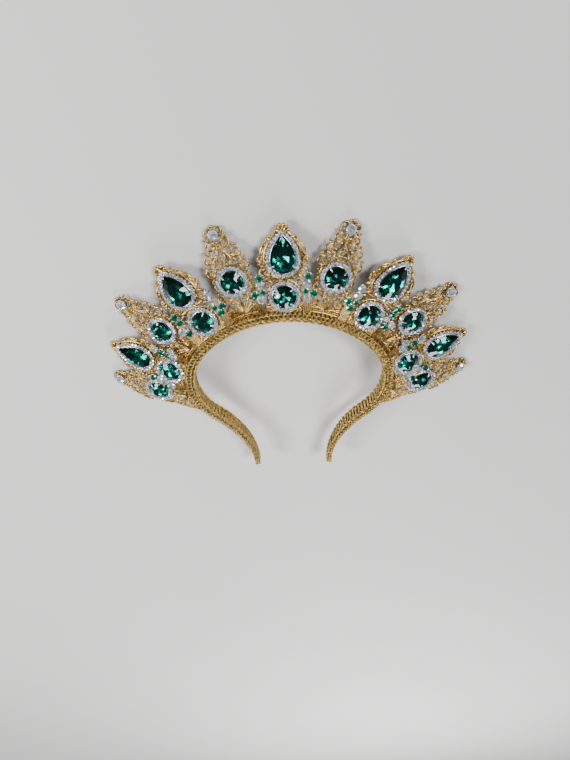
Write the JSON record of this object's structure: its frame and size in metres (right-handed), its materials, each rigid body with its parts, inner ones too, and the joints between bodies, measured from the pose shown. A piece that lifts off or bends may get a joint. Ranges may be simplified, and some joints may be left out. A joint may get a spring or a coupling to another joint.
{
  "type": "rhinestone tiara",
  "caption": "Horseshoe costume tiara: a braided gold headband with pierced gold spikes and plates that carry round and pear green stones in halos of clear stones.",
  "frame": {"origin": "bottom centre of the whole tiara's box, as it lies on the backs of its six spike tips", "axes": "+X to the viewer's right across the crown, +Y from the band's ends to the crown's top, +Z out of the tiara's front"},
  "size_m": [0.2492, 0.199, 0.0219],
  "materials": {
    "gold_braid": "metallic gold braid wound over the headband",
    "gold_filigree": "gold plated stamping, bright on the relief and darker in the recesses",
    "clear_crystal": "foil backed cut glass in silvered cups",
    "emerald_glass": "foil backed faceted green glass"
  },
  "bodies": {
    "root": {"band": "gold_braid", "spike_plate_1": "gold_filigree", "spike_plate_2": "gold_filigree", "spike_plate_3": "gold_filigree", "spike_plate_4": "gold_filigree", "spike_plate_5": "gold_filigree", "spike_plate_6": "gold_filigree", "pear_plate_1": "gold_filigree", "pear_plate_2": "gold_filigree", "pear_plate_3": "gold_filigree", "pear_plate_4": "gold_filigree", "pear_plate_5": "gold_filigree", "round_halo_1": "clear_crystal", "round_halo_2": "clear_crystal", "round_halo_3": "clear_crystal", "round_halo_4": "clear_crystal", "round_halo_5": "clear_crystal", "round_halo_6": "clear_crystal", "round_halo_7": "clear_crystal", "round_halo_8": "clear_crystal", "round_halo_9": "clear_crystal", "round_halo_10": "clear_crystal", "round_halo_11": "clear_crystal", "pear_halo_1": "clear_crystal", "pear_halo_2": "clear_crystal", "pear_halo_3": "clear_crystal", "pear_halo_4": "clear_crystal", "pear_halo_5": "clear_crystal", "round_stone_1": "emerald_glass", "round_stone_2": "emerald_glass", "round_stone_3": "emerald_glass", "round_stone_4": "emerald_glass", "round_stone_5": "emerald_glass", "round_stone_6": "emerald_glass", "round_stone_7": "emerald_glass", "round_stone_8": "emerald_glass", "round_stone_9": "emerald_glass", "round_stone_10": "emerald_glass", "round_stone_11": "emerald_glass", "pear_stone_1": "emerald_glass", "pear_stone_2": "emerald_glass", "pear_stone_3": "emerald_glass", "pear_stone_4": "emerald_glass", "pear_stone_5": "emerald_glass", "tip_stone_1": "clear_crystal", "tip_stone_2": "clear_crystal", "tip_stone_3": "clear_crystal", "tip_stone_4": "clear_crystal", "tip_stone_5": "clear_crystal", "tip_stone_6": "clear_crystal", "chaton_spray_1": "clear_crystal", "chaton_spray_2": "clear_crystal", "chaton_spray_3": "clear_crystal", "chaton_spray_4": "clear_crystal", "chaton_spray_5": "clear_crystal", "chaton_spray_6": "clear_crystal", "chaton_spray_7": "clear_crystal", "chaton_spray_8": "clear_crystal", "chaton_spray_9": "clear_crystal", "chaton_spray_10": "clear_crystal"}
  },
  "joints": []
}
